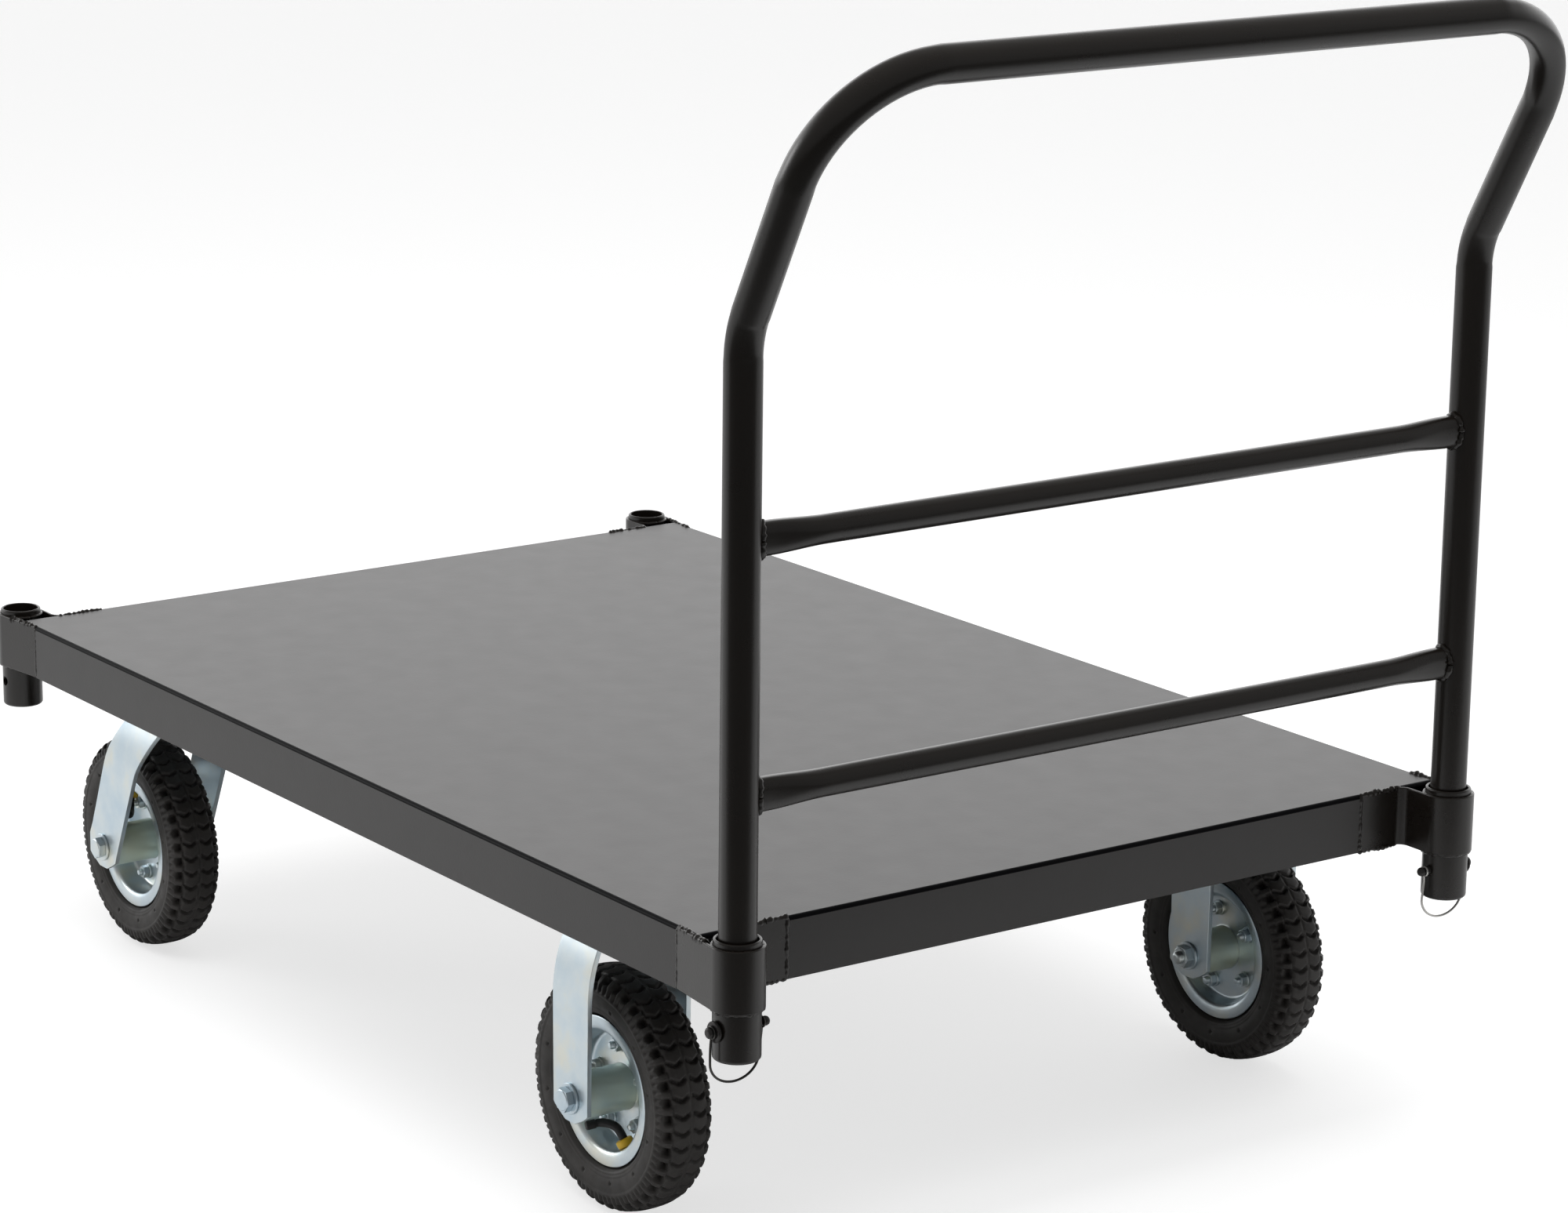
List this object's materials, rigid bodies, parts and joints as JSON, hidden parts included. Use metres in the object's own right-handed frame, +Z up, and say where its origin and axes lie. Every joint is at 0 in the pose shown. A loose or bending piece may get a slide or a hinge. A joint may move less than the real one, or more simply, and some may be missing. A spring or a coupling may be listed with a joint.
{
  "type": "platform cart",
  "caption": "Steel platform cart with a lift-out tubular push handle, corner sockets, rigid rear and swivel front casters with pneumatic tyres.",
  "frame": {"origin": "on the floor under the centre of the whole cart's bounding box", "axes": "+X to the handle end (rear), +Y to the right of a person facing the front, +Z up"},
  "size_m": [1.3478, 0.788, 0.9756],
  "materials": {
    "deck_paint": "black powder coat, fine orange peel, semi-gloss",
    "frame_paint": "black powder coat, semi-gloss",
    "zinc_plate": "bright zinc plated steel",
    "hub_steel": "grey plated hub tube",
    "pin_black": "black oxide",
    "spring_wire": "spring wire",
    "tyre": "moulded black rubber",
    "rubber": "black rubber"
  },
  "bodies": {
    "frame": {"axle_bolt_rear_left": "zinc_plate", "axle_bolt_rear_right": "zinc_plate", "axle_nut_rear_left": "zinc_plate", "axle_nut_rear_right": "zinc_plate", "caster_channel_front": "frame_paint", "caster_channel_rear": "frame_paint", "deck_pan": "deck_paint", "deck_stiffener": "frame_paint", "kingpin_left": "zinc_plate", "kingpin_right": "zinc_plate", "rigid_fork_left": "zinc_plate", "rigid_fork_right": "zinc_plate", "socket_band_front_left": "frame_paint", "socket_band_front_right": "frame_paint", "socket_band_rear_left": "frame_paint", "socket_band_rear_right": "frame_paint", "socket_tube_front_left": "frame_paint", "socket_tube_front_right": "frame_paint", "socket_tube_rear_left": "frame_paint", "socket_tube_rear_right": "frame_paint", "swivel_plate_left": "zinc_plate", "swivel_plate_right": "zinc_plate"},
    "wheel_rear_left": {"tyre_rear_left": "tyre", "inner_tube_rear_left": "rubber", "rim_outer_rear_left": "zinc_plate", "rim_inner_rear_left": "zinc_plate", "hub_rear_left": "hub_steel", "valve_rear_left": "rubber"},
    "wheel_front_left": {"tyre_front_left": "tyre", "inner_tube_front_left": "rubber", "rim_outer_front_left": "zinc_plate", "rim_inner_front_left": "zinc_plate", "hub_front_left": "hub_steel", "valve_front_left": "rubber"},
    "swivel_left": {"swivel_fork_left": "zinc_plate", "axle_bolt_front_left": "zinc_plate", "axle_nut_front_left": "zinc_plate"},
    "pin_left": {"lock_pin_left": "pin_black"},
    "bail_arm_left": {"bail_left": "spring_wire"},
    "wheel_rear_right": {"tyre_rear_right": "tyre", "inner_tube_rear_right": "rubber", "rim_outer_rear_right": "zinc_plate", "rim_inner_rear_right": "zinc_plate", "hub_rear_right": "hub_steel", "valve_rear_right": "rubber"},
    "wheel_front_right": {"tyre_front_right": "tyre", "inner_tube_front_right": "rubber", "rim_outer_front_right": "zinc_plate", "rim_inner_front_right": "zinc_plate", "hub_front_right": "hub_steel", "valve_front_right": "rubber"},
    "swivel_right": {"swivel_fork_right": "zinc_plate", "axle_bolt_front_right": "zinc_plate", "axle_nut_front_right": "zinc_plate"},
    "pin_right": {"lock_pin_right": "pin_black"},
    "bail_arm_right": {"bail_right": "spring_wire"},
    "handle": {"handle_tube": "frame_paint", "upper_rail": "frame_paint", "lower_rail": "frame_paint"}
  },
  "joints": [
    {"name": "caster_swivel_left", "type": "hinge", "parent": "frame", "child": "swivel_left", "pos_m": [-0.3993, -0.325, 0.10104], "axis": [0, 0, 1], "continuous": true},
    {"name": "wheel_spin_rear_left", "type": "hinge", "parent": "frame", "child": "wheel_rear_left", "pos_m": [0.3357, -0.325, 0.10104], "axis": [0, 1, 0], "continuous": true},
    {"name": "wheel_spin_front_left", "type": "hinge", "parent": "swivel_left", "child": "wheel_front_left", "pos_m": [-0.4733, -0.325, 0.10104], "axis": [0, 1, 0], "continuous": true},
    {"name": "caster_swivel_right", "type": "hinge", "parent": "frame", "child": "swivel_right", "pos_m": [-0.3993, 0.325, 0.10104], "axis": [0, 0, 1], "continuous": true},
    {"name": "wheel_spin_rear_right", "type": "hinge", "parent": "frame", "child": "wheel_rear_right", "pos_m": [0.3357, 0.325, 0.10104], "axis": [0, 1, 0], "continuous": true},
    {"name": "wheel_spin_front_right", "type": "hinge", "parent": "swivel_right", "child": "wheel_front_right", "pos_m": [-0.4733, 0.325, 0.10104], "axis": [0, 1, 0], "continuous": true},
    {"name": "handle_lift", "type": "slide", "parent": "frame", "child": "handle", "axis": [0, 0, 1], "range_m": [0, 0.12]},
    {"name": "pin_turn_left", "type": "hinge", "parent": "frame", "child": "pin_left", "pos_m": [0.5534, -0.366, 0.22454], "axis": [0, 1, 0], "range_deg": [-90, 90]},
    {"name": "bail_swing_left", "type": "hinge", "parent": "pin_left", "child": "bail_arm_left", "pos_m": [0.5534, -0.391, 0.22454], "axis": [-1, 0, 0], "range_deg": [0, 150]},
    {"name": "pin_turn_right", "type": "hinge", "parent": "frame", "child": "pin_right", "pos_m": [0.5534, 0.366, 0.22454], "axis": [0, 1, 0], "range_deg": [-90, 90]},
    {"name": "bail_swing_right", "type": "hinge", "parent": "pin_right", "child": "bail_arm_right", "pos_m": [0.5534, 0.391, 0.22454], "axis": [1, 0, 0], "range_deg": [0, 150]}
  ]
}
